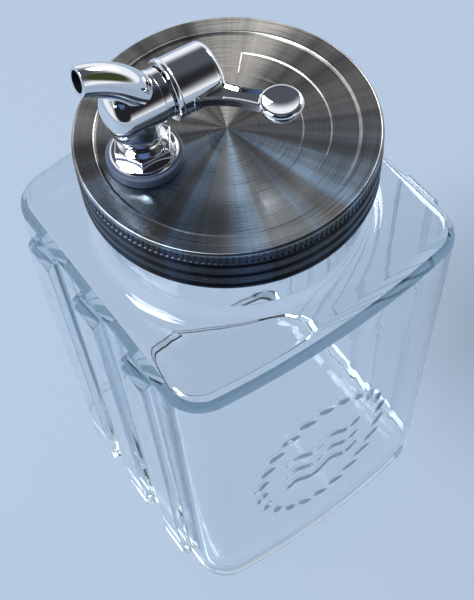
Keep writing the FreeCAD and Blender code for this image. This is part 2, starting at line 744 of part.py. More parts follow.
def add_handle():
    """Cap over the end of the valve, with a flat lever that ends in a round finger pad."""
    radius = dim["cap_radius"]
    edge = dim["cap_rim"]
    rim_end = cap_start + dim["cap_rim_width"]
    hollow = radius - dim["cap_wall"]
    head_hole = dim["screw_head_radius"] + dim["hole_gap"]
    body = add_turned("handle", [
        (square_start, nil), (square_start, hollow), (cap_start, hollow), (cap_start, radius),
        (cap_start + edge, radius + edge), (rim_end, radius + edge), (rim_end + edge, radius),
        (cap_end - dim["cap_round"], radius), (cap_end, radius - dim["cap_round"], -dim["cap_round"]),
        (cap_end, dim["button_radius"]), (button_seat, dim["button_radius"]), (button_seat, head_hole),
        (square_end, head_hole), (square_end, nil),
    ])

    # The lever is drawn along its own centre line and turned into place in plan
    lean_u = cosine(dim["lever_angle"])
    lean_y = -sine(dim["lever_angle"])
    start = cap_start + dim["lever_start"]

    def on_lever(along, aside):
        return (start + lean_u * along - lean_y * aside, lean_y * along + lean_u * aside)

    foot = radius - dim["cap_wall"]
    waist = dim["lever_waist"]
    reach = dim["lever_reach"]
    root_half = dim["lever_root_half"]
    slim = dim["lever_waist_half"]
    end_half = dim["lever_end_half"]
    root_bend = -waist_bend(waist - foot, root_half - slim)
    end_bend = -waist_bend(reach - waist, end_half - slim)
    lever = add_sketch(body, "lever", "XY_Plane")
    draw(lever, [
        on_lever(foot, -root_half), (*on_lever(waist, -slim), root_bend),
        (*on_lever(reach, -end_half), end_bend), on_lever(reach, end_half),
        (*on_lever(waist, slim), end_bend), (*on_lever(foot, root_half), root_bend),
    ])
    extrude(body, lever, dim["lever_thickness"], both_ways=True)

    pad_u, pad_y = on_lever(dim["lever_reach"], nil)
    pad = add_sketch(body, "pad", "XZ_Plane", aside=pad_u, lift=-pad_y)
    lip = dim["pad_radius"] - dim["pad_face_radius"]
    sag = dim["pad_drop"] + dim["pad_rise"] - lip
    belly = (dim["pad_radius"] * dim["pad_radius"] + sag * sag) / (sag * 2)
    draw(pad, [
        (nil, -dim["pad_drop"]), (dim["pad_radius"], dim["pad_rise"] - lip, belly),
        (dim["pad_face_radius"], dim["pad_rise"], lip), (nil, dim["pad_rise"]),
    ])
    revolve(body, pad, "V_Axis")

    square = add_sketch(body, "square", "YZ_Plane", lift=square_end)
    draw_square(square, dim["square_side"] / 2 + dim["square_gap"])
    extrude(body, square, dim["square_length"], cut=True)


def draw_square(sketch, half):
    draw(sketch, [(half, -half), (half, half), (-half, half), (-half, -half)])


def add_fixings():
    """Screw into the stem's end, and the button that covers it."""
    head_end = square_end + dim["screw_head_height"]
    tip = square_end - dim["screw_grip"]
    add_turned("handle_screw", [
        (tip, nil), (head_end, nil), (head_end, dim["screw_head_radius"]),
        (square_end, dim["screw_head_radius"]), (square_end, dim["screw_radius"]),
        (tip, dim["screw_radius"]),
    ])
    edge = dim["button_thickness"] / 4
    cover = dim["button_radius"] - dim["running_gap"]
    add_turned("end_button", [
        (button_seat, nil), (cap_end, nil), (cap_end, cover - edge), (cap_end - edge, cover, -edge),
        (button_seat, cover),
    ])


def check_model():
    """Stops where a feature failed or a piece is not one sound solid."""
    for item in doc.Objects:
        if {"Invalid", "Error"} & set(item.State):
            raise RuntimeError(f"{item.Name} failed: {item.State}")
    for piece in sub_parts:
        shape = piece.Shape
        if shape.isNull() or not shape.isValid() or len(shape.Solids) != 1:
            raise RuntimeError(f"{piece.Label} is not one sound solid")


add_jar()
add_lid()
add_seals()
add_flange_nut()
add_lock_nut()
add_tap_body()
add_bonnet()
add_plug()
add_handle()
add_fixings()
doc.recompute()
check_model()

os.makedirs("parts", exist_ok=True)
for piece in sub_parts:
    piece.Shape.exportStep(f"parts/{piece.Label}.step")
    print(f"{piece.Label}: {piece.Shape.Volume / 1000:.2f} cm3")
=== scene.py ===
import bpy
import bmesh
import math
from mathutils import Matrix, Vector


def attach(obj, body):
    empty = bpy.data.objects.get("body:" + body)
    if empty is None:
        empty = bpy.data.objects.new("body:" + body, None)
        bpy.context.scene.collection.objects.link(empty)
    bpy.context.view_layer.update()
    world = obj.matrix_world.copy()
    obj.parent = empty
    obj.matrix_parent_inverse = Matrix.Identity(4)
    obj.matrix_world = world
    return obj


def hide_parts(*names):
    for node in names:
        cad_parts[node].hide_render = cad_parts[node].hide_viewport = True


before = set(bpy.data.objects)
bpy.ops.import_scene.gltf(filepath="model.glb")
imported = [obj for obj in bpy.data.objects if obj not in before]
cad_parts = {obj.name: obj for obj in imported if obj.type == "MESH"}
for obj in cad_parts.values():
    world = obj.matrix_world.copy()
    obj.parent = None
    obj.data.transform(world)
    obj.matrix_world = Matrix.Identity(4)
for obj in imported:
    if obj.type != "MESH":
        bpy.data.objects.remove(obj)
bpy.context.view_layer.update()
scene = bpy.context.scene
scene.view_settings.view_transform = "Standard"
mm = 0.001
fullTurn = 2 * math.pi
hair = 0.01  # mm, taken as the same place
cutGap = 1e-4
weldGap = 1e-5


def moveVerts(bm, verts, matrix):
    bmesh.ops.transform(bm, matrix=matrix, verts=verts, space=Matrix.Identity(4))


def turnProfile(bm, points, steps):
    # (radius, height) points, turned once round Z
    verts = [bm.verts.new((radius, 0, height)) for radius, height in points]
    edges = [bm.edges.new(pair) for pair in zip(verts, verts[1:])]
    bmesh.ops.spin(bm, geom=verts + edges, cent=(0, 0, 0), axis=(0, 0, 1), dvec=(0, 0, 0),
                   angle=fullTurn, steps=steps, use_merge=True, use_duplicate=False)
    bmesh.ops.remove_doubles(bm, verts=bm.verts[:], dist=weldGap)


def roundOff(bm, edges, offset, segments):
    bmesh.ops.bevel(bm, geom=edges, offset=offset, offset_type="OFFSET", segments=segments, profile=0.5,
                    affect="EDGES", clamp_overlap=True, material=-1)


def softenEdges(bm, offset, limitDeg, segments, edges=None):
    limit = math.radians(limitDeg)
    chosen = [e for e in (edges or bm.edges) if e.is_manifold and e.calc_face_angle(0) > limit]
    roundOff(bm, chosen, offset, segments)


def onlyVerts(geom):
    return [item for item in geom if isinstance(item, bmesh.types.BMVert)]


def edgesWithin(geom, verts):
    return [e for e in geom if isinstance(e, bmesh.types.BMEdge) and all(v in verts for v in e.verts)]


def loftLoops(bm, loops):
    for lower, upper in zip(loops, loops[1:]):
        bmesh.ops.bridge_loops(bm, edges=lower + upper)


def quarter(steps):
    # sine and cosine through a quarter turn
    turns = [step / steps * math.pi / 2 for step in range(steps + 1)]
    return [(math.sin(turn), math.cos(turn)) for turn in turns]


def arcOn(bm, vert, centre, angle, steps):
    swept = bmesh.ops.spin(bm, geom=[vert], cent=centre, axis=(0, 0, 1), dvec=(0, 0, 0), angle=angle,
                           steps=steps, use_merge=False, use_duplicate=False)
    return onlyVerts(swept["geom_last"])[0]


def cutRegion(bm, region, point, normal):
    edges = {e for f in region for e in f.edges}
    verts = {v for f in region for v in f.verts}
    cut = bmesh.ops.bisect_plane(bm, geom=[*region, *edges, *verts], dist=cutGap,
                                 plane_co=point, plane_no=normal)
    return {item for item in cut["geom"] if isinstance(item, bmesh.types.BMFace)}


def appendMesh(bm, part, matrix=Matrix.Identity(4)):
    moveVerts(part, part.verts[:], matrix)
    scratch = bpy.data.meshes.new("scratch")
    part.to_mesh(scratch)
    part.free()
    bm.from_mesh(scratch)
    bpy.data.meshes.remove(scratch)


def appendTurned(bm, points, steps, matrix=Matrix.Identity(4)):
    part = bmesh.new()
    turnProfile(part, points, steps)
    bmesh.ops.recalc_face_normals(part, faces=part.faces[:])
    appendMesh(bm, part, matrix)


def finishPiece(bm, name, body, material, nodes=(), place=None, sharpDeg=35, faceOut=True):
    if faceOut:
        bmesh.ops.recalc_face_normals(bm, faces=bm.faces[:])
    scaling = Matrix.Scale(mm, 4)
    moveVerts(bm, bm.verts[:], scaling @ (place or Matrix.Identity(4)))
    mesh = bpy.data.meshes.new(name)
    bm.to_mesh(mesh)
    bm.free()
    mesh.shade_smooth()
    mesh.set_sharp_from_angle(angle=math.radians(sharpDeg))
    piece = bpy.data.objects.new(name, mesh)
    scene.collection.objects.link(piece)
    mesh.materials.append(material)
    flats = piece.modifiers.new("flatsStayFlat", "WEIGHTED_NORMAL")
    flats.keep_sharp = True
    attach(piece, body)
    if nodes:
        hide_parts(*nodes)
    print("made", name, len(mesh.polygons), "faces")
    return piece


def addNode(tree, kind, **settings):
    node = tree.nodes.new(kind)
    for key, value in settings.items():
        setattr(node, key, value)
    return node


def newGroup(name, inputs, outputs):
    group = bpy.data.node_groups.new(name, "ShaderNodeTree")
    for label, kind, value in inputs:
        socket = group.interface.new_socket(name=label, in_out="INPUT", socket_type=kind)
        socket.default_value = value
    for label, kind in outputs:
        group.interface.new_socket(name=label, in_out="OUTPUT", socket_type=kind)
    return group, addNode(group, "NodeGroupInput"), addNode(group, "NodeGroupOutput")


def mapRange(tree, ends, smooth=True):
    node = addNode(tree, "ShaderNodeMapRange", interpolation_type="SMOOTHSTEP" if smooth else "LINEAR")
    node.inputs["From Min"].default_value, node.inputs["From Max"].default_value = ends
    return node


def mixColor(tree, first=None, second=None, blend="MIX"):
    node = addNode(tree, "ShaderNodeMix", data_type="RGBA", blend_type=blend)
    for label, color in (("A", first), ("B", second)):
        if color:
            node.inputs[label].default_value = (*color, 1)
    return node


handling = dict(patchDetail=3, speckDetail=2, spread=(0.16, 0.40))


def smudgeGroup():
    # broad soft patches with finer specks in them, as handling leaves on a hard surface
    group, source, result = newGroup(
        "handlingMarks",
        [("Patch Scale", "NodeSocketFloat", 60.0), ("Speck Scale", "NodeSocketFloat", 900.0),
         ("Low", "NodeSocketFloat", 0.04), ("High", "NodeSocketFloat", 0.12)],
        [("Roughness", "NodeSocketFloat"), ("Mask", "NodeSocketFloat")])
    coords = addNode(group, "ShaderNodeTexCoord")
    patches = addNode(group, "ShaderNodeTexNoise")
    specks = addNode(group, "ShaderNodeTexNoise")
    patches.inputs["Detail"].default_value = handling["patchDetail"]
    specks.inputs["Detail"].default_value = handling["speckDetail"]
    blend = addNode(group, "ShaderNodeMath", operation="MULTIPLY")
    spread = mapRange(group, handling["spread"], smooth=False)
    link = group.links.new
    link(coords.outputs["Object"], patches.inputs["Vector"])
    link(coords.outputs["Object"], specks.inputs["Vector"])
    link(source.outputs["Patch Scale"], patches.inputs["Scale"])
    link(source.outputs["Speck Scale"], specks.inputs["Scale"])
    link(patches.outputs["Fac"], blend.inputs[0])
    link(specks.outputs["Fac"], blend.inputs[1])
    link(blend.outputs[0], spread.inputs["Value"])
    link(source.outputs["Low"], spread.inputs["To Min"])
    link(source.outputs["High"], spread.inputs["To Max"])
    link(spread.outputs["Result"], result.inputs["Roughness"])
    link(blend.outputs[0], result.inputs["Mask"])
    return group


steel = dict(
    fineness=2600.0, roughness=(0.24, 0.36), anisotropy=0.86, bumpStrength=0.12, bumpDepth=0.00004,
    dark=(0.40, 0.40, 0.41), light=(0.62, 0.62, 0.63), alongLine=0.0005, lineDetail=4, lineRough=0.65,
    # the sector noise paints bright and dark reflection streaks across the lid
    lineRange=(0.3, 0.7), sectorScale=2.6, sectorDetail=4, sectorRough=0.6, sectorRange=(0.36, 0.66),
    paintedSectorShade=(0.34, 0.33, 0.31),
    # painted reflection colours: cool blue on the side the heading points to, warm on the other
    paintedReflectionHeading=(-0.5, -0.86, 0), paintedReflectionRange=(-0.2, 0.95), paintedWarmReflection=(1.0, 0.965, 0.90), paintedCoolReflection=(0.56, 0.84, 1.15),
    skirtLevels=(0.2552, 0.2538), skirtRadii=(0.0525, 0.0545),  # metres, where the outer wall's painted shade sets in
    # painted shade multiplied into the outer wall's colour
    skirtPaintedShade=(0.17, 0.175, 0.20),
)


def ringGroup():
    # fine turning lines round the Z axis, and masks for painted light: broad sectors for painted reflection
    # streaks, one side for a painted cool reflection and the outer wall for painted shade
    group, source, result = newGroup(
        "turningLinesAndPaintedLight",
        [("Fineness", "NodeSocketFloat", 2600.0), ("Low", "NodeSocketFloat", 0.2),
         ("High", "NodeSocketFloat", 0.4)],
        [("Lines", "NodeSocketFloat"), ("Roughness", "NodeSocketFloat"), ("Painted Sectors", "NodeSocketFloat"),
         ("Side", "NodeSocketFloat"), ("Painted Shade Wall", "NodeSocketFloat")])
    coords = addNode(group, "ShaderNodeTexCoord")
    split = addNode(group, "ShaderNodeSeparateXYZ")
    flat = addNode(group, "ShaderNodeCombineXYZ")
    reach = addNode(group, "ShaderNodeVectorMath", operation="LENGTH")
    angle = addNode(group, "ShaderNodeMath", operation="ARCTAN2")
    slow = addNode(group, "ShaderNodeMath", operation="MULTIPLY")
    slow.inputs[1].default_value = steel["alongLine"]
    track = addNode(group, "ShaderNodeCombineXYZ")
    noise = addNode(group, "ShaderNodeTexNoise")
    noise.inputs["Detail"].default_value = steel["lineDetail"]
    noise.inputs["Roughness"].default_value = steel["lineRough"]
    spread = mapRange(group, steel["lineRange"], smooth=False)
    link = group.links.new
    link(coords.outputs["Object"], split.inputs[0])
    link(split.outputs["X"], flat.inputs["X"])
    link(split.outputs["Y"], flat.inputs["Y"])
    link(flat.outputs[0], reach.inputs[0])
    link(split.outputs["Y"], angle.inputs[0])
    link(split.outputs["X"], angle.inputs[1])
    link(angle.outputs[0], slow.inputs[0])
    link(reach.outputs["Value"], track.inputs["X"])
    link(split.outputs["Z"], track.inputs["Y"])
    link(slow.outputs[0], track.inputs["Z"])
    link(track.outputs[0], noise.inputs["Vector"])
    link(source.outputs["Fineness"], noise.inputs["Scale"])
    link(noise.outputs["Fac"], spread.inputs["Value"])
    link(source.outputs["Low"], spread.inputs["To Min"])
    link(source.outputs["High"], spread.inputs["To Max"])
    link(noise.outputs["Fac"], result.inputs["Lines"])
    link(spread.outputs["Result"], result.inputs["Roughness"])
    # broad radial sectors: the mask for painted reflection streaks
    around = addNode(group, "ShaderNodeVectorMath", operation="NORMALIZE")
    rays = addNode(group, "ShaderNodeTexNoise")
    rays.inputs["Scale"].default_value = steel["sectorScale"]
    rays.inputs["Detail"].default_value = steel["sectorDetail"]
    rays.inputs["Roughness"].default_value = steel["sectorRough"]
    contrast = mapRange(group, steel["sectorRange"])
    link(flat.outputs[0], around.inputs[0])
    link(around.outputs[0], rays.inputs["Vector"])
    link(rays.outputs["Fac"], contrast.inputs["Value"])
    link(contrast.outputs["Result"], result.inputs["Painted Sectors"])
    # one side: the mask for a painted cool reflection
    side = addNode(group, "ShaderNodeVectorMath", operation="DOT_PRODUCT")
    side.inputs[1].default_value = steel["paintedReflectionHeading"]
    soft = mapRange(group, steel["paintedReflectionRange"])
    link(around.outputs[0], side.inputs[0])
    link(side.outputs["Value"], soft.inputs["Value"])
    link(soft.outputs["Result"], result.inputs["Side"])
    # the outer wall: the mask for painted shade
    below = mapRange(group, steel["skirtLevels"])
    outside = mapRange(group, steel["skirtRadii"])
    wall = addNode(group, "ShaderNodeMath", operation="MULTIPLY")
    link(split.outputs["Z"], below.inputs["Value"])
    link(reach.outputs["Value"], outside.inputs["Value"])
    link(below.outputs["Result"], wall.inputs[0])
    link(outside.outputs["Result"], wall.inputs[1])
    link(wall.outputs[0], result.inputs["Painted Shade Wall"])
    return group


marks = smudgeGroup()
turningLinesAndPaintedLight = ringGroup()


def newMaterial(name, color, metallic=0.0, roughness=0.5):
    material = bpy.data.materials.new(name)
    material.use_nodes = True
    shader = material.node_tree.nodes["Principled BSDF"]
    shader.inputs["Base Color"].default_value = (*color, 1)
    shader.inputs["Metallic"].default_value = metallic
    shader.inputs["Roughness"].default_value = roughness
    return material, material.node_tree, shader


def useGroup(tree, group, **values):
    node = addNode(tree, "ShaderNodeGroup", node_tree=group)
    for label, value in values.items():
        node.inputs[label].default_value = value
    return node


metalMarks = {"Patch Scale": 55.0, "Speck Scale": 700.0}


def metalMaterial(name, color, low, high):
    material, tree, shader = newMaterial(name, color, metallic=1.0)
    wear = useGroup(tree, marks, Low=low, High=high, **metalMarks)
    tree.links.new(wear.outputs["Roughness"], shader.inputs["Roughness"])
    return material


def spunSteelMaterial(name):
    material, tree, shader = newMaterial(name, steel["dark"], metallic=1.0)
    low, high = steel["roughness"]
    rings = useGroup(tree, turningLinesAndPaintedLight, Fineness=steel["fineness"], Low=low, High=high)
    tint = mixColor(tree, steel["dark"], steel["light"])
    # painted reflection: cool blue on the front side, warm on the back
    paintedSideReflection = mixColor(tree, steel["paintedWarmReflection"], steel["paintedCoolReflection"])
    # painted reflection streaks: darker radial sectors between brighter ones
    paintedStreaks = mixColor(tree, steel["paintedSectorShade"])
    sheen = mixColor(tree, blend="MULTIPLY")
    sheen.inputs["Factor"].default_value = 1.0
    # painted shade: the outer wall darkened
    skirtShadeMix = mixColor(tree, second=steel["skirtPaintedShade"], blend="MULTIPLY")
    bump = addNode(tree, "ShaderNodeBump")
    bump.inputs["Strength"].default_value = steel["bumpStrength"]
    bump.inputs["Distance"].default_value = steel["bumpDepth"]
    tangent = addNode(tree, "ShaderNodeTangent", direction_type="RADIAL", axis="Z")
    shader.inputs["Anisotropic"].default_value = steel["anisotropy"]
    link = tree.links.new
    link(rings.outputs["Painted Shade Wall"], skirtShadeMix.inputs["Factor"])
    link(sheen.outputs["Result"], skirtShadeMix.inputs["A"])
    link(rings.outputs["Side"], paintedSideReflection.inputs["Factor"])
    link(paintedSideReflection.outputs["Result"], paintedStreaks.inputs["B"])
    link(rings.outputs["Painted Sectors"], paintedStreaks.inputs["Factor"])
    link(paintedStreaks.outputs["Result"], sheen.inputs["B"])
    link(rings.outputs["Lines"], tint.inputs["Factor"])
    link(tint.outputs["Result"], sheen.inputs["A"])
    link(skirtShadeMix.outputs["Result"], shader.inputs["Base Color"])
    link(rings.outputs["Roughness"], shader.inputs["Roughness"])
    link(rings.outputs["Lines"], bump.inputs["Height"])
    link(bump.outputs["Normal"], shader.inputs["Normal"])
    link(tangent.outputs["Tangent"], shader.inputs["Tangent"])
    return material


glass = dict(
    color=(0.97, 0.985, 0.99), ior=1.5, rippleScale=45.0, rippleDetail=1.5, rippleStrength=0.10,
    rippleDepth=0.0012, rippleLevels=(0.12, 0.20),  # metres
    clearTint=(0.985, 0.99, 0.99), deepTint=(0.70, 0.77, 0.80), deepFrom=4.5,
)


def glassMaterial(name):
    # shadow and diffuse rays pass straight through, and so do rays too deep to be traced to their end
    material, tree, shader = newMaterial(name, glass["color"], roughness=0.0)
    shader.inputs["Transmission Weight"].default_value = 1.0
    shader.inputs["IOR"].default_value = glass["ior"]
    coords = addNode(tree, "ShaderNodeTexCoord")
    waves = addNode(tree, "ShaderNodeTexNoise")
    waves.inputs["Scale"].default_value = glass["rippleScale"]
    waves.inputs["Detail"].default_value = glass["rippleDetail"]
    bump = addNode(tree, "ShaderNodeBump")
    bump.inputs["Strength"].default_value = glass["rippleStrength"]
    bump.inputs["Distance"].default_value = glass["rippleDepth"]
    lightPath = addNode(tree, "ShaderNodeLightPath")
    clear = addNode(tree, "ShaderNodeBsdfTransparent")
    tint = mixColor(tree, glass["clearTint"], glass["deepTint"])
    either = addNode(tree, "ShaderNodeMath", operation="MAXIMUM")
    deep = addNode(tree, "ShaderNodeMath", operation="GREATER_THAN")
    deep.inputs[1].default_value = glass["deepFrom"]
    passing = addNode(tree, "ShaderNodeMath", operation="MAXIMUM")
    mix = addNode(tree, "ShaderNodeMixShader")
    output = tree.nodes["Material Output"]
    link = tree.links.new
    # pressed ripples on the shoulder and neck, smooth walls and floor
    height = addNode(tree, "ShaderNodeSeparateXYZ")
    upper = mapRange(tree, glass["rippleLevels"])
    ripple = addNode(tree, "ShaderNodeMath", operation="MULTIPLY")
    link(coords.outputs["Object"], waves.inputs["Vector"])
    link(coords.outputs["Object"], height.inputs[0])
    link(height.outputs["Z"], upper.inputs["Value"])
    link(waves.outputs["Fac"], ripple.inputs[0])
    link(upper.outputs["Result"], ripple.inputs[1])
    link(ripple.outputs[0], bump.inputs["Height"])
    link(bump.outputs["Normal"], shader.inputs["Normal"])
    link(lightPath.outputs["Is Shadow Ray"], either.inputs[0])
    link(lightPath.outputs["Is Diffuse Ray"], either.inputs[1])
    link(lightPath.outputs["Ray Depth"], deep.inputs[0])
    link(either.outputs[0], passing.inputs[0])
    link(deep.outputs[0], passing.inputs[1])
    # the deep tint leaves shadow and diffuse rays alone, so light reaches what lies under the glass
    seen = addNode(tree, "ShaderNodeMath", operation="SUBTRACT", use_clamp=True)
    link(deep.outputs[0], seen.inputs[0])
    link(either.outputs[0], seen.inputs[1])
    link(seen.outputs[0], tint.inputs["Factor"])
    link(tint.outputs["Result"], clear.inputs["Color"])
    link(passing.outputs[0], mix.inputs["Fac"])
    link(shader.outputs["BSDF"], mix.inputs[1])
    link(clear.outputs["BSDF"], mix.inputs[2])
    link(mix.outputs["Shader"], output.inputs["Surface"])
    return material


matt = dict(roughness=0.55, bumpStrength=0.15, bumpDepth=0.0001)
mattMarks = {"Patch Scale": 120.0, "Speck Scale": 2200.0, "Low": 0.45, "High": 0.7}


def mattMaterial(name, color):
    material, tree, shader = newMaterial(name, color, roughness=matt["roughness"])
    wear = useGroup(tree, marks, **mattMarks)
    bump = addNode(tree, "ShaderNodeBump")
    bump.inputs["Strength"].default_value = matt["bumpStrength"]
    bump.inputs["Distance"].default_value = matt["bumpDepth"]
    tree.links.new(wear.outputs["Roughness"], shader.inputs["Roughness"])
    tree.links.new(wear.outputs["Mask"], bump.inputs["Height"])
    tree.links.new(bump.outputs["Normal"], shader.inputs["Normal"])
    return material


chromePlate = metalMaterial("chromePlate", (0.83, 0.84, 0.86), low=0.015, high=0.05)
spunSteel = spunSteelMaterial("spunSteel")
clearGlass = glassMaterial("clearGlass")
greyRubber = mattMaterial("greyRubber", (0.085, 0.115, 0.19))
blackRubber = mattMaterial("blackRubber", (0.02, 0.02, 0.02))
whitePlastic = mattMaterial("whitePlastic", (0.72, 0.72, 0.70))
plainSteel = metalMaterial("plainSteel", (0.55, 0.55, 0.55), low=0.25, high=0.4)
# near-black matt for the sheet inside the spout: painted shade
spoutShadeBlack = mattMaterial("spoutShadeBlack", (0.012, 0.012, 0.014))
print("materials ready")


jar = dict(
    halfWidth=68.5, halfDepth=70.95, bow=400.0, corner=16.0,
    shoulder=206.6, shoulderRound=6.5, baseRound=5.0, baseRecess=1.5, baseLand=12.0, landRise=0.06,
    landSlope=1.0, wall=4.0, floor=9.0, floorRound=10.0,
    neck=53.4, sweep=8.0, mouth=48.5, height=254.0, rimRound=1.5,
    ribPitch=34.5, ribHalf=8.5, ribDepth=5.19, ribFoot=5.6, ribTop=199.6, ribEdge=2.0, ribHead=4.4,
    cornerSteps=10, bowSteps=14, roundSteps=7, sweepSteps=8, rimSteps=4, neckSteps=144,
    wallArea=5000, wallFacing=0.999, bowArea=500, bowFacing=0.9, headSteps=7, edgeSteps=4,
)

motif = dict(
    middleX=-6.0, middleZ=98.0, halfWide=46.0, halfTall=56.0, row=7.5, cuts=8, insideY=-66.5,
    leaves=22, ovalX=34.0, ovalZ=46.0, leafLong=4.6, leafWide=1.7, leafLean=0.9,
    waveHalf=20.0, wavePitch=13.0, waveHeight=2.6, waveLong=20.0, waveWide=1.3, depth=0.9,
)


def planLoop(bm, inset, height):
    # once round the plan: a straight ribbed side, a corner, a bowed side and a corner, twice
    half = jar["halfWidth"] - inset
    reach = jar["bow"] - jar["corner"]
    cornerX = jar["halfWidth"] - jar["corner"]
    bowY = jar["halfDepth"] - jar["bow"]
    cornerY = bowY + math.sqrt(reach ** 2 - cornerX ** 2)
    lean = math.asin(cornerX / reach)
    bend = math.pi / 2 - lean
    known = set(bm.edges)
    start = last = bm.verts.new((half, -cornerY, height))
    for side in (1, -1):
        moved = bmesh.ops.extrude_vert_indiv(bm, verts=[last])["verts"]
        bmesh.ops.translate(bm, verts=moved, vec=(0, 2 * cornerY * side, 0))
        last = arcOn(bm, moved[0], (cornerX * side, cornerY * side, height), bend, jar["cornerSteps"])
        last = arcOn(bm, last, (0, bowY * side, height), 2 * lean, jar["bowSteps"])
        last = arcOn(bm, last, (-cornerX * side, cornerY * side, height), bend, jar["cornerSteps"])
    bmesh.ops.weld_verts(bm, targetmap={last: start})
    return [edge for edge in bm.edges if edge not in known]


def addRibs(bm, side):
    wallFaces = [f for f in bm.faces if f.normal.x * side > jar["wallFacing"]
                 and f.calc_area() > jar["wallArea"]
                 and abs(f.calc_center_median().x) > jar["halfWidth"] - hair]
    middles = [jar["ribPitch"] * index for index in (-1, 0, 1)]
    cuts = [((0, 0, jar["ribFoot"]), (0, 0, 1)), ((0, 0, jar["ribTop"]), (0, 0, 1))]
    for middle in middles:
        cuts += [((0, middle - jar["ribHalf"], 0), (0, 1, 0)), ((0, middle + jar["ribHalf"], 0), (0, 1, 0))]
    region = set(wallFaces)
    for point, normal in cuts:
        region = cutRegion(bm, region, point, normal)
    ribFaces = []
    for face in region:
        centre = face.calc_center_median()
        aside = min(abs(centre.y - middle) for middle in middles)
        if jar["ribFoot"] < centre.z < jar["ribTop"] and aside < jar["ribHalf"]:
            ribFaces.append(face)
    for face in ribFaces:
        middle = face.calc_center_median().y
        grown = bmesh.ops.extrude_face_region(bm, geom=[face])["geom"]
        crown = [item for item in grown if isinstance(item, bmesh.types.BMFace)][0]
        bmesh.ops.delete(bm, geom=[face], context="FACES_ONLY")
        bmesh.ops.translate(bm, verts=list(crown.verts), vec=(jar["ribDepth"] * side, 0, 0))
        heads = [e for e in crown.edges if abs(e.verts[0].co.z - e.verts[1].co.z) < hair]
        roundOff(bm, heads, jar["ribHead"], jar["headSteps"])
        onRib = [e for e in bm.edges if all(abs(v.co.y - middle) < jar["ribHalf"] + hair
                 and v.co.x * side > jar["halfWidth"] - hair for v in e.verts)]
        softenEdges(bm, jar["ribEdge"], limitDeg=40, segments=jar["edgeSteps"], edges=onRib)


def sinkMotif(bm):
    # an oval of leaf marks round three waves, pressed into the front
    left, right = motif["middleX"] - motif["halfWide"], motif["middleX"] + motif["halfWide"]
    low, high = motif["middleZ"] - motif["halfTall"], motif["middleZ"] + motif["halfTall"]
    rows = round((high - low) / motif["row"])
    front = [f for f in bm.faces if f.normal.y < -jar["bowFacing"] and f.calc_area() > jar["bowArea"]]
    region = {f for f in front if f.calc_center_median().y < 0 and left < f.calc_center_median().x < right}
    for row in range(rows + 1):
        region = cutRegion(bm, region, (0, 0, low + (high - low) * row / rows), (0, 0, 1))
    field = [f for f in region if low < f.calc_center_median().z < high]
    fieldEdges = list({e for f in field for e in f.edges})
    bmesh.ops.subdivide_edges(bm, edges=fieldEdges, cuts=motif["cuts"], use_grid_fill=True)
    leaves = []
    for index in range(motif["leaves"]):
        turn = fullTurn * (index + 0.5) / motif["leaves"]
        leafX, leafZ = motif["ovalX"] * math.cos(turn), motif["ovalZ"] * math.sin(turn)
        leaves.append((leafX, leafZ, turn + motif["leafLean"]))
    for vert in bm.verts:
        if vert.co.y > motif["insideY"] or not (left < vert.co.x < right and low < vert.co.z < high):
            continue
        x, z = vert.co.x - motif["middleX"], vert.co.z - motif["middleZ"]
        depth = 0.0
        for leafX, leafZ, turn in leaves:
            along = (x - leafX) * math.cos(turn) + (z - leafZ) * math.sin(turn)
            across = (z - leafZ) * math.cos(turn) - (x - leafX) * math.sin(turn)
            inside = 1 - (along / motif["leafLong"]) ** 2 - (across / motif["leafWide"]) ** 2
            depth = max(depth, math.sqrt(max(inside, 0)))
        if abs(x) < motif["waveHalf"]:
            swell = motif["waveHeight"] * math.sin(fullTurn * x / motif["waveLong"])
            for index in (-1, 0, 1):
                wave = index * motif["wavePitch"] + swell
                depth = max(depth, math.sqrt(max(1 - ((z - wave) / motif["waveWide"]) ** 2, 0)))
        vert.co.y += motif["depth"] * depth


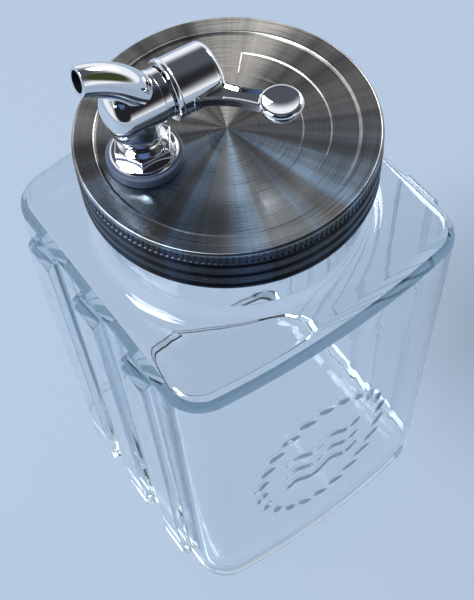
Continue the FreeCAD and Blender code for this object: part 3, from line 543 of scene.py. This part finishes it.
def makeJar():
    bm = bmesh.new()
    baseRound, shoulderRound, floorRound = jar["baseRound"], jar["shoulderRound"], jar["floorRound"]
    shoulder, wall, floor = jar["shoulder"], jar["wall"], jar["floor"]
    arc = quarter(jar["roundSteps"])
    outside = [planLoop(bm, baseRound * (1 - sine), baseRound * (1 - cosine)) for sine, cosine in arc]
    for sine, cosine in arc:
        outside.append(planLoop(bm, shoulderRound * (1 - cosine), shoulder - shoulderRound * (1 - sine)))
    loftLoops(bm, outside)
    base = [outside[0], planLoop(bm, jar["baseLand"], jar["landRise"])]
    base.append(planLoop(bm, jar["baseLand"] + jar["landSlope"], jar["baseRecess"]))
    loftLoops(bm, base)
    bmesh.ops.contextual_create(bm, geom=base[-1])

    under = shoulder - wall
    inside = [planLoop(bm, wall, under)]
    for sine, cosine in arc:
        inside.append(planLoop(bm, wall + floorRound * (1 - cosine), floor + floorRound * (1 - sine)))
    loftLoops(bm, inside)
    bmesh.ops.contextual_create(bm, geom=inside[-1])

    # the neck's section runs from the shoulder over the rim and down inside
    neck, mouth, height, lip = jar["neck"], jar["mouth"], jar["height"], jar["rimRound"]
    sweep = min(jar["sweep"], jar["halfWidth"] - shoulderRound - neck)
    throat = sweep + wall
    bends, lips = quarter(jar["sweepSteps"]), quarter(jar["rimSteps"])
    section = [(neck + sweep * (1 - sine), shoulder + sweep * (1 - cosine)) for sine, cosine in bends]
    section += [(neck - lip * (1 - cosine), height - lip * (1 - sine)) for sine, cosine in lips]
    section += [(mouth + lip * (1 - sine), height - lip * (1 - cosine)) for sine, cosine in lips]
    section += [(mouth + throat * (1 - cosine), under + throat * (1 - sine)) for sine, cosine in bends]
    neckMesh = bmesh.new()
    turnProfile(neckMesh, section, jar["neckSteps"])
    appendMesh(bm, neckMesh)
    for loop, radius in ((outside[-1], neck + sweep), (inside[0], mouth + throat)):
        ring = [e for e in bm.edges if e.is_boundary
                and all(abs(v.co.xy.length - radius) < hair for v in e.verts)]
        bmesh.ops.bridge_loops(bm, edges=[e for e in loop if e.is_valid] + ring)
    bmesh.ops.recalc_face_normals(bm, faces=bm.faces[:])
    bm.normal_update()
    for side in (1, -1):
        addRibs(bm, side)
    sinkMotif(bm)
    print("jar open edges", sum(1 for e in bm.edges if not e.is_manifold))
    return finishPiece(bm, "jarGlass", "jar", clearGlass, ["jar"], sharpDeg=60)


makeJar()


lid = dict(
    top=256.0, radius=57.0, depth=20.5, sheet=0.7, panel=48.8, drop=1.0, groove=0.9,
    knurl=4.4, bead=3.0, curl=2.0, teeth=168, slot=0.4, slotEdge=0.22, rollRound=0.42,
    arcInner=27.5, arcOuter=38.2, arcFromDeg=-58.0, arcToDeg=46.0, arcDrop=0.35, arcEdge=0.5,
)


def makeLid():
    bm = bmesh.new()
    outer, groove, drop, panel, sheet = lid["radius"], lid["groove"], lid["drop"], lid["panel"], lid["sheet"]
    low = outer - groove
    top = [(radius, -drop) for radius in (0, lid["arcInner"], lid["arcOuter"], panel - drop)]
    top += [(panel, 0), (low, 0)]
    skirt = []
    level = -groove
    for width in (lid["knurl"], lid["bead"], lid["bead"]):
        foot = level - width
        skirt += [(outer, level), (outer, foot), (low, foot - groove), (low, foot - 2 * groove)]
        level = foot - 3 * groove
    curlTop = lid["curl"] - lid["depth"]
    skirt[-1] = (low, curlTop)
    skirt += [(outer, curlTop - groove), (outer, -lid["depth"])]
    wall = low - sheet
    back = [(wall, -lid["depth"]), (wall, -sheet), (panel + sheet, -sheet),
            (panel + sheet - drop, -drop - sheet), (0, -drop - sheet)]
    turnProfile(bm, top + skirt + back, lid["teeth"] * 2)
    bmesh.ops.recalc_face_normals(bm, faces=bm.faces[:])

    # knurl: every other face of the band under the top edge is pressed in
    band = [f for f in bm.faces if f.calc_center_median().xy.length > low + groove / 2
            and -groove - lid["knurl"] < f.calc_center_median().z < -groove]
    band.sort(key=lambda f: math.atan2(f.calc_center_median().y, f.calc_center_median().x))
    bmesh.ops.inset_individual(bm, faces=band[::2], thickness=lid["slotEdge"], depth=-lid["slot"],
                               use_even_offset=True)

    # arc panel pressed into the middle
    arcPanel = []
    for f in bm.faces:
        centre = f.calc_center_median()
        turn = math.degrees(math.atan2(centre.y, centre.x))
        if abs(centre.z + drop) < hair and lid["arcInner"] < centre.xy.length < lid["arcOuter"]:
            if lid["arcFromDeg"] < turn < lid["arcToDeg"]:
                arcPanel.append(f)
    bmesh.ops.inset_region(bm, faces=arcPanel, thickness=lid["arcEdge"], depth=-lid["arcDrop"],
                           use_even_offset=True)

    # level rings above and below the knurl are rolled
    rolls = [e for e in bm.edges if e.verts[0].co.xy.length > panel - hair
             and abs(e.verts[0].co.xy.length - e.verts[1].co.xy.length) < hair
             and abs(e.verts[0].co.z - e.verts[1].co.z) < hair
             and not -groove - lid["knurl"] - hair < e.verts[0].co.z < -groove - hair]
    softenEdges(bm, lid["rollRound"], limitDeg=25, segments=3, edges=rolls)
    place = Matrix.Translation((0, 0, lid["top"]))
    return finishPiece(bm, "lidSheet", "lid", spunSteel, ["lid_shell"], place, sharpDeg=25)


makeLid()


tap = dict(
    x=-31.4, y=6.4, turnDeg=-4.0, axis=26.8,
    shank=7.0, shankGap=0.2, shankTail=13.0, shankNeck=11.0, shankSink=1.0, shankBore=4.5, shankSteps=72,
    threadPitch=1.25, threadDepth=0.55, crestFrom=0.4, crestTo=0.6,
    barrel=9.4, barrelBack=12.0, dome=6.5, domeSteps=12, barrelFront=7.0, barrelLip=0.4,
    barrelSteps=128, bowlFoot=7.3, bowlBelly=8.8, bowlTop=9.2, bowlSteps=20, bowlAround=96,
    spoutRootZ=5.6, spoutBend=30.6, spoutRootDeg=64.0, spoutEndDeg=17.0, spoutRoot=7.0, spoutEnd=5.1,
    spoutWall=1.3, spoutSteps=28, spoutAround=64, mouthDeg=4, lipRound=0.4, lipSteps=4,
    # the bore's depth, and the near-black sheet of painted shade that lines it
    shadeSheetGap=0.02, shadeSheetThick=0.1, wayShare=0.62, waySteps=8, shadeSheetSteps=12,
)
tapTurn = Matrix.Rotation(math.radians(tap["turnDeg"]), 4, "Z")
valvePlace = Matrix.Translation((tap["x"], tap["y"], lid["top"] + tap["axis"])) @ tapTurn
panelPlace = Matrix.Translation((tap["x"], tap["y"], lid["top"] - lid["drop"])) @ tapTurn
alongValve = Matrix.Rotation(math.pi / 2, 4, "Y")


gasket = dict(radius=14.0, thick=4.2, round=0.7, steps=96)


def makeGasket():
    bm = bmesh.new()
    bore, radius, thick = tap["shank"] + tap["shankGap"], gasket["radius"], gasket["thick"]
    turnProfile(bm, [(bore, 0), (radius, 0), (radius, thick), (bore, thick), (bore, 0)], gasket["steps"])
    softenEdges(bm, gasket["round"], limitDeg=30, segments=4)
    return finishPiece(bm, "gasketRing", "lid", greyRubber, ["outer_gasket"], panelPlace)


nut = dict(
    flange=12.5, flangeThick=1.6, chamfer=0.8, flangeRound=0.35, flangeSteps=96,
    across=19.5, height=4.2, round=0.45, crownFoot=8.9, crown=1.3, crownGap=0.1, crownSteps=72,
)


def makeNut():
    bm = bmesh.new()
    thick, flange = nut["flangeThick"], nut["flange"]
    middle, top = thick / 2, thick + nut["height"]
    bore = tap["shank"] + tap["shankGap"]
    section = [(bore, 0), (flange, 0), (flange, middle), (flange - nut["chamfer"], thick),
               (bore, thick), (bore, 0)]
    turnProfile(bm, section, nut["flangeSteps"])
    softenEdges(bm, nut["flangeRound"], limitDeg=30, segments=3)
    bmesh.ops.recalc_face_normals(bm, faces=bm.faces[:])
    # six walls, a domed crown and the bore, closed underneath inside the flange
    hexagon = bmesh.new()
    bmesh.ops.create_circle(hexagon, cap_ends=False, segments=6, radius=nut["across"] / math.sqrt(3))
    cornerOut = Matrix.Rotation(math.pi / 6, 4, "Z")
    moveVerts(hexagon, hexagon.verts[:], Matrix.Translation((0, 0, middle)) @ cornerOut)
    walls = bmesh.ops.extrude_edge_only(hexagon, edges=hexagon.edges[:])["geom"]
    upper = onlyVerts(walls)
    bmesh.ops.translate(hexagon, verts=upper, vec=(0, 0, top - middle))
    upperEdges = edgesWithin(walls, upper)
    known = set(hexagon.edges)
    bmesh.ops.create_circle(hexagon, cap_ends=False, segments=nut["crownSteps"], radius=nut["crownFoot"],
                            matrix=Matrix.Translation((0, 0, top)))
    crownEdges = [e for e in hexagon.edges if e not in known]
    bmesh.ops.bridge_loops(hexagon, edges=upperEdges + crownEdges)
    crown = bmesh.ops.extrude_edge_only(hexagon, edges=crownEdges)["geom"]
    crownVerts = onlyVerts(crown)
    shrink = (tap["shank"] + nut["crownGap"]) / nut["crownFoot"]
    lift = Matrix.Translation((0, 0, nut["crown"]))
    moveVerts(hexagon, crownVerts, lift @ Matrix.Diagonal((shrink, shrink, 1, 1)))
    throat = bmesh.ops.extrude_edge_only(hexagon, edges=edgesWithin(crown, crownVerts))["geom"]
    bmesh.ops.translate(hexagon, verts=onlyVerts(throat), vec=(0, 0, middle - top - nut["crown"]))
    bmesh.ops.bridge_loops(hexagon, edges=[e for e in hexagon.edges if e.is_boundary])
    bmesh.ops.recalc_face_normals(hexagon, faces=hexagon.faces[:])
    softenEdges(hexagon, nut["round"], limitDeg=30, segments=3)
    appendMesh(bm, hexagon)
    seat = panelPlace @ Matrix.Translation((0, 0, gasket["thick"]))
    return finishPiece(bm, "flangeNutHex", "lid", chromePlate, ["flange_nut"], seat,
                       sharpDeg=40, faceOut=False)


def spoutPoint(angle):
    start = math.radians(tap["spoutRootDeg"])
    front = tap["barrelFront"] - tap["barrelLip"] - tap["spoutRoot"] * math.sin(start)
    along = front + tap["spoutBend"] * (math.sin(angle) - math.sin(start))
    above = tap["spoutRootZ"] + tap["spoutBend"] * (math.cos(angle) - math.cos(start))
    return Vector((along, 0, above))


def mouthTilt(angle):
    # the mouth's plane lies halfway between the arc's end and mouthDeg
    return (angle + math.radians(tap["mouthDeg"])) / 2


def spoutRing(bm, angle, radius, tilt):
    known = set(bm.edges)
    heading = Matrix.Translation(spoutPoint(angle)) @ Matrix.Rotation(tilt - math.pi / 2, 4, "Y")
    bmesh.ops.create_circle(bm, cap_ends=False, segments=tap["spoutAround"], radius=radius, matrix=heading)
    return [e for e in bm.edges if e not in known]


def makeSpout():
    # rings along the arc, bridged from the root to the mouth and back down inside
    part = bmesh.new()
    first, last = math.radians(tap["spoutRootDeg"]), math.radians(tap["spoutEndDeg"])
    bore = tap["spoutEnd"] - tap["spoutWall"]
    count = tap["spoutSteps"]
    outward = []
    for step in range(count + 1):
        share = step / count
        radius = tap["spoutRoot"] + (tap["spoutEnd"] - tap["spoutRoot"]) * share
        angle = first + (last - first) * share
        outward.append(spoutRing(part, angle, radius, mouthTilt(last) if step == count else angle))
    loftLoops(part, outward)
    drawn = bmesh.ops.extrude_edge_only(part, edges=outward[-1])["geom"]
    lipVerts = onlyVerts(drawn)
    narrow = bore / tap["spoutEnd"]
    aboutMouth = Matrix.Translation(-spoutPoint(last))
    bmesh.ops.scale(part, vec=(narrow, narrow, narrow), verts=lipVerts, space=aboutMouth)
    depth = tap["waySteps"]
    inward = [edgesWithin(drawn, lipVerts)]
    for step in range(1, depth + 1):
        angle = last + (first - last) * tap["wayShare"] * step / depth
        inward.append(spoutRing(part, angle, bore, angle))
    loftLoops(part, inward)
    bmesh.ops.contextual_create(part, geom=outward[0])
    bmesh.ops.contextual_create(part, geom=inward[-1])
    bmesh.ops.recalc_face_normals(part, faces=part.faces[:])
    roundOff(part, [e for e in outward[-1] if e.is_valid], tap["lipRound"], tap["lipSteps"])
    return part


def makeSpoutShadeSheet():
    # a near-black sheet lining the spout's bore from just under the lip: painted shade
    bm = bmesh.new()
    first, last = math.radians(tap["spoutRootDeg"]), math.radians(tap["spoutEndDeg"])
    radius = tap["spoutEnd"] - tap["spoutWall"] - tap["shadeSheetGap"]
    steps = tap["shadeSheetSteps"]
    rings = []
    for step in range(steps + 1):
        angle = last + (first - last) * tap["wayShare"] * step / steps
        rings.append(spoutRing(bm, angle, radius, angle if step else mouthTilt(last)))
    loftLoops(bm, rings)
    bmesh.ops.contextual_create(bm, geom=rings[-1])
    bmesh.ops.recalc_face_normals(bm, faces=bm.faces[:])
    bmesh.ops.reverse_faces(bm, faces=bm.faces[:])
    bmesh.ops.solidify(bm, geom=bm.faces[:], thickness=-tap["shadeSheetThick"])
    return finishPiece(bm, "spoutShadeSheet", "lid", spoutShadeBlack, (), valvePlace, sharpDeg=40)


def makeBowl():
    # circles of changing radius whose fronts follow a second curve, each through three given values
    part = bmesh.new()
    foot = tap["shankNeck"] - tap["axis"]
    front = tap["barrelFront"] - tap["barrelLip"]
    radii = (tap["bowlFoot"], tap["bowlBelly"], tap["bowlTop"])
    reaches = (tap["bowlFoot"], front, front)
    rings = []
    count = tap["bowlSteps"]
    for step in range(count + 1):
        t = step / count
        blend = ((1 - t) * (1 - 2 * t), 4 * t * (1 - t), t * (2 * t - 1))
        radius = sum(share * value for share, value in zip(blend, radii))
        reach = sum(share * value for share, value in zip(blend, reaches))
        known = set(part.edges)
        spot = Matrix.Translation((reach - radius, 0, foot * (1 - t)))
        bmesh.ops.create_circle(part, cap_ends=step in (0, count), segments=tap["bowlAround"],
                                radius=radius, matrix=spot)
        rings.append([e for e in part.edges if e not in known])
    loftLoops(part, rings)
    bmesh.ops.recalc_face_normals(part, faces=part.faces[:])
    return part


def shankSection():
    # ridges up the shank, then down through its bore
    low = -tap["axis"] - tap["shankTail"]
    foot = tap["shankNeck"] - tap["axis"]
    core, crest, pitch = tap["shank"] - tap["threadDepth"], tap["shank"], tap["threadPitch"]
    points = [(tap["shankBore"], low), (core, low)]
    for ridge in range(int((foot - low) / pitch)):
        base = low + ridge * pitch
        points += [(crest, base + tap["crestFrom"] * pitch), (crest, base + tap["crestTo"] * pitch),
                   (core, base + pitch)]
    top = foot + tap["shankSink"]
    return points + [(core, top), (tap["shankBore"], top), (tap["shankBore"], low)]


def makeTapBody():
    bm = bmesh.new()
    front, back, dome, radius = tap["barrelFront"], tap["barrelBack"], tap["dome"], tap["barrel"]
    barrel = [(0, -back)]
    arc = quarter(tap["domeSteps"])
    barrel += [(radius - dome * (1 - sine), dome * (1 - cosine) - back) for sine, cosine in arc]
    barrel += [(radius, front), (0, front)]
    appendTurned(bm, barrel, tap["barrelSteps"], alongValve)
    appendMesh(bm, makeBowl())
    appendMesh(bm, makeSpout())
    appendTurned(bm, shankSection(), tap["shankSteps"])
    return finishPiece(bm, "tapCasting", "lid", chromePlate, ["tap_body"], valvePlace,
                       sharpDeg=40, faceOut=False)


bonnet = dict(radius=9.0, length=3.5, stemBore=4.05, faceGap=0.05, round=0.5, steps=128)


def makeBonnet():
    bm = bmesh.new()
    bore, radius = bonnet["stemBore"], bonnet["radius"]
    start, end = tap["barrelFront"] + bonnet["faceGap"], tap["barrelFront"] + bonnet["length"]
    section = [(bore, start), (radius, start), (radius, end), (bore, end), (bore, start)]
    turnProfile(bm, section, bonnet["steps"])
    softenEdges(bm, bonnet["round"], limitDeg=30, segments=4)
    place = valvePlace @ alongValve
    return finishPiece(bm, "bonnetCollar", "lid", chromePlate, ["bonnet_ring"], place)


makeGasket()
makeNut()
makeTapBody()
makeSpoutShadeSheet()
makeBonnet()
print("tap ready")


handle = dict(
    capGap=0.4, cap=10.8, rim=0.4, rimWidth=1.6, length=18.6, round=2.5, hollow=4.0, wall=1.8, capSoft=0.22,
    capSteps=144, roundSteps=8,
    leverStart=4.4, leverDeg=47.5, reach=36.8, rootHalf=6.8, waistHalf=3.3, endHalf=3.88, waist=23.0,
    thick=3.2, dish=0.8, landWidth=0.75, slopeWidth=1.1, leverRound=0.32, leverSteps=4,
    pad=7.7, padInset=5.2, padFace=6.2, padRise=2.3, padDrop=5.8, padDish=1.3,
    ballSteps=16, lipSteps=6, dishSteps=12, padSteps=96,
)
button = dict(radius=6.0, thick=1.4, gap=0.05, round=0.3, steps=96)
capStart = tap["barrelFront"] + bonnet["length"] + handle["capGap"]
capEnd = capStart + handle["length"]
leverTurn = Matrix.Rotation(-math.radians(handle["leverDeg"]), 4, "Z")
leverPlace = Matrix.Translation((capStart + handle["leverStart"], 0, 0)) @ leverTurn


def makeLever():
    part = bmesh.new()
    foot = handle["cap"] - handle["wall"]
    waist, reach = handle["waist"], handle["reach"] - handle["padInset"]
    root, slim, end = handle["rootHalf"], handle["waistHalf"], handle["endHalf"]
    rootBend = ((waist - foot) ** 2 + (root - slim) ** 2) / (2 * (root - slim))
    endBend = ((reach - waist) ** 2 + (end - slim) ** 2) / (2 * (end - slim))
    rootTurn = math.asin((waist - foot) / rootBend)
    endTurn = math.asin((reach - waist) / endBend)
    flat = -handle["thick"] / 2
    waistVert = part.verts.new((waist, slim, flat))
    arcOn(part, waistVert, (waist, slim + rootBend, flat), -rootTurn, handle["leverSteps"])
    arcOn(part, waistVert, (waist, slim + endBend, flat), endTurn, handle["leverSteps"])
    bmesh.ops.mirror(part, geom=part.verts[:] + part.edges[:], axis="Y", merge_dist=weldGap)
    ends = [v for v in part.verts if len(v.link_edges) == 1]
    ends.sort(key=lambda v: v.co.x)
    part.edges.new(ends[:2])
    part.edges.new(ends[2:])
    bmesh.ops.contextual_create(part, geom=part.edges[:])
    raised = bmesh.ops.extrude_face_region(part, geom=part.faces[:])["geom"]
    bmesh.ops.translate(part, verts=onlyVerts(raised), vec=(0, 0, handle["thick"]))
    bmesh.ops.recalc_face_normals(part, faces=part.faces[:])
    # a flat land along the outline, then a slope down to the dish
    face = max(part.faces, key=lambda f: f.calc_center_median().z)
    for width, depth in ((handle["landWidth"], 0), (handle["slopeWidth"], -handle["dish"])):
        bmesh.ops.inset_individual(part, faces=[face], thickness=width, depth=depth, use_even_offset=True)
    softenEdges(part, handle["leverRound"], limitDeg=20, segments=4)
    moveVerts(part, part.verts[:], leverPlace)
    return part


def makeHandle():
    bm = bmesh.new()
    radius, rim = handle["cap"], handle["rim"]
    hollow = radius - handle["wall"]
    rimEnd = capStart + handle["rimWidth"]
    bottom = capStart + handle["hollow"]
    corner = handle["round"]
    seat, seatFloor = button["radius"] + button["gap"], capEnd - button["thick"]
    cap = bmesh.new()
    section = [(0, bottom), (hollow, bottom), (hollow, capStart), (radius, capStart),
               (radius + rim, capStart + rim), (radius + rim, rimEnd), (radius, rimEnd + rim)]
    arc = quarter(handle["roundSteps"])
    section += [(radius - corner * (1 - cosine), capEnd - corner * (1 - sine)) for sine, cosine in arc]
    section += [(seat, capEnd), (seat, seatFloor), (0, seatFloor)]
    turnProfile(cap, section, handle["capSteps"])
    bmesh.ops.recalc_face_normals(cap, faces=cap.faces[:])
    softenEdges(cap, handle["capSoft"], limitDeg=25, segments=3)
    appendMesh(bm, cap, alongValve)
    appendMesh(bm, makeLever())
    # finger pad: a ball underneath, a rounded lip and a dished face
    face, dish = handle["padFace"], handle["padDish"]
    rise, drop = handle["padRise"], handle["padDrop"]
    lip = handle["pad"] - face
    sag = drop + rise - lip
    ball = (handle["pad"] ** 2 + sag ** 2) / (2 * sag)
    sweepAngle = math.acos((ball - sag) / ball)
    turns = [sweepAngle * step / handle["ballSteps"] for step in range(handle["ballSteps"] + 1)]
    knob = [(ball * math.sin(turn), ball - drop - ball * math.cos(turn)) for turn in turns]
    lipArc, dishArc = quarter(handle["lipSteps"])[1:], quarter(handle["dishSteps"])[1:]
    knob += [(face + lip * cosine, rise - lip + lip * sine) for sine, cosine in lipArc]
    knob += [(face * cosine, rise - dish * sine ** 2) for sine, cosine in dishArc]
    padPlace = leverPlace @ Matrix.Translation((handle["reach"], 0, 0))
    appendTurned(bm, knob, handle["padSteps"], padPlace)
    return finishPiece(bm, "turnHandle", "handle", chromePlate, ["handle"], valvePlace,
                       sharpDeg=40, faceOut=False)


def makeButton():
    bm = bmesh.new()
    radius, low = button["radius"], capEnd - button["thick"]
    turnProfile(bm, [(0, low), (radius, low), (radius, capEnd), (0, capEnd)], button["steps"])
    softenEdges(bm, button["round"], limitDeg=30, segments=3)
    place = valvePlace @ alongValve
    return finishPiece(bm, "handleButton", "handle", chromePlate, ["end_button"], place)


makeHandle()
makeButton()
print("handle ready")


finishes = dict(
    lid_liner=whitePlastic, inner_gasket=greyRubber, inner_washer=plainSteel, lock_nut=chromePlate,
    valve_plug=whitePlastic, thrust_washer=whitePlastic, plug_seal_inner=blackRubber,
    plug_seal_outer=blackRubber, stem_seal=blackRubber, handle_screw=plainSteel,
)
for nodeName, material in finishes.items():
    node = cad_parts[nodeName]
    node.data.materials.clear()
    node.data.materials.append(material)
print("kept nodes dressed")


studio = dict(
    floorSize=12.0, floorColor=(0.43, 0.53, 0.67), floorRough=0.8,
    lowBand=(0.32, 0.74), lowColor=(1.0, 1.03, 1.07), highColor=(0.09, 0.10, 0.12),
    sweepFrom=0.35, sweepTo=1.6, sweepColor=(0.45, 0.54, 0.67),
    glassVeil=0.25, veilColor=(0.62, 0.68, 0.74),
    cards=[  # heading, inner and outer half angle in degrees, colour
        ((-0.42, -0.66, 0.62), 38, 58, (0.02, 0.02, 0.025)),
        ((0.75, -0.55, 0.40), 16, 30, (0.05, 0.06, 0.025)),
        ((-0.20, -0.30, 0.93), 8, 22, (0.10, 0.16, 0.34)),
    ],
    lamps=[  # name, place, size, watts, colour
        ("leftPanel", (-1.3, 0.35, 1.9), (0.9, 0.7), 42, (0.95, 0.97, 1.0)),
        ("rightPanel", (1.5, 0.5, 1.2), (0.6, 0.9), 17, (1.0, 0.98, 0.94)),
    ],
    lampTarget=(0, 0, 0.15),
    cameraAt=(-0.1355, -0.2105, 0.5376), azimuthDeg=-32.52, elevationDeg=58.02, rollDeg=-4.26,
    lens=61.478, clipStart=0.01,
)


def makeFloor():
    bm = bmesh.new()
    bmesh.ops.create_grid(bm, x_segments=2, y_segments=2, size=studio["floorSize"] / 2)
    mesh = bpy.data.meshes.new("floor")
    bm.to_mesh(mesh)
    bm.free()
    floor = bpy.data.objects.new("floor", mesh)
    scene.collection.objects.link(floor)
    material, tree, shader = newMaterial("paleFloor", studio["floorColor"], roughness=studio["floorRough"])
    mesh.materials.append(material)
    # lit near the object, an even pale sweep farther out
    coords = addNode(tree, "ShaderNodeTexCoord")
    reach = addNode(tree, "ShaderNodeVectorMath", operation="LENGTH")
    far = mapRange(tree, (studio["sweepFrom"], studio["sweepTo"]))
    glow = addNode(tree, "ShaderNodeEmission")
    glow.inputs["Color"].default_value = (*studio["sweepColor"], 1)
    mix = addNode(tree, "ShaderNodeMixShader")
    link = tree.links.new
    link(coords.outputs["Object"], reach.inputs[0])
    link(reach.outputs["Value"], far.inputs["Value"])
    link(far.outputs["Result"], mix.inputs["Fac"])
    link(shader.outputs["BSDF"], mix.inputs[1])
    link(glow.outputs["Emission"], mix.inputs[2])
    link(mix.outputs["Shader"], tree.nodes["Material Output"].inputs["Surface"])


def addLamp(name, at, size, power, color):
    data = bpy.data.lights.new(name, "AREA")
    data.shape = "RECTANGLE"
    data.size, data.size_y = size
    data.energy = power
    data.color = color
    lamp = bpy.data.objects.new(name, data)
    lamp.location = at
    lamp.rotation_euler = (Vector(studio["lampTarget"]) - Vector(at)).to_track_quat("-Z", "Y").to_euler()
    scene.collection.objects.link(lamp)


def makeWorld():
    # dim overhead, bright low all round, and a few soft cards
    world = bpy.data.worlds.new("studioWorld")
    world.use_nodes = True
    tree = world.node_tree
    background = tree.nodes["Background"]
    coords = addNode(tree, "ShaderNodeTexCoord")
    split = addNode(tree, "ShaderNodeSeparateXYZ")
    height = mapRange(tree, studio["lowBand"])
    sky = mixColor(tree, studio["lowColor"], studio["highColor"])
    link = tree.links.new
    link(coords.outputs["Generated"], split.inputs[0])
    link(split.outputs["Z"], height.inputs["Value"])
    link(height.outputs["Result"], sky.inputs["Factor"])
    last = sky.outputs["Result"]
    for heading, innerDeg, outerDeg, color in studio["cards"]:
        facing = addNode(tree, "ShaderNodeVectorMath", operation="DOT_PRODUCT")
        facing.inputs[1].default_value = Vector(heading).normalized()
        edge = mapRange(tree, (math.cos(math.radians(outerDeg)), math.cos(math.radians(innerDeg))))
        card = mixColor(tree, second=color)
        link(coords.outputs["Generated"], facing.inputs[0])
        link(facing.outputs["Value"], edge.inputs["Value"])
        link(edge.outputs["Result"], card.inputs["Factor"])
        link(last, card.inputs["A"])
        last = card.outputs["Result"]
    # what is seen through glass is evened out a little
    lightPath = addNode(tree, "ShaderNodeLightPath")
    veil = addNode(tree, "ShaderNodeMath", operation="MULTIPLY")
    veil.inputs[1].default_value = studio["glassVeil"]
    clear = mixColor(tree, second=studio["veilColor"])
    link(lightPath.outputs["Is Transmission Ray"], veil.inputs[0])
    link(veil.outputs[0], clear.inputs["Factor"])
    link(last, clear.inputs["A"])
    link(clear.outputs["Result"], background.inputs["Color"])
    scene.world = world


def makeCamera():
    data = bpy.data.cameras.new("photoCamera")
    data.lens = studio["lens"]
    data.clip_start = studio["clipStart"]
    camera = bpy.data.objects.new("photoCamera", data)
    turn = (Matrix.Rotation(math.radians(studio["azimuthDeg"]), 3, "Z")
            @ Matrix.Rotation(math.radians(90 - studio["elevationDeg"]), 3, "X")
            @ Matrix.Rotation(math.radians(studio["rollDeg"]), 3, "Z"))
    camera.location = studio["cameraAt"]
    camera.rotation_euler = turn.to_euler()
    scene.collection.objects.link(camera)
    scene.camera = camera


makeFloor()
for lamp in studio["lamps"]:
    addLamp(*lamp)
makeWorld()
makeCamera()
print("studio ready")
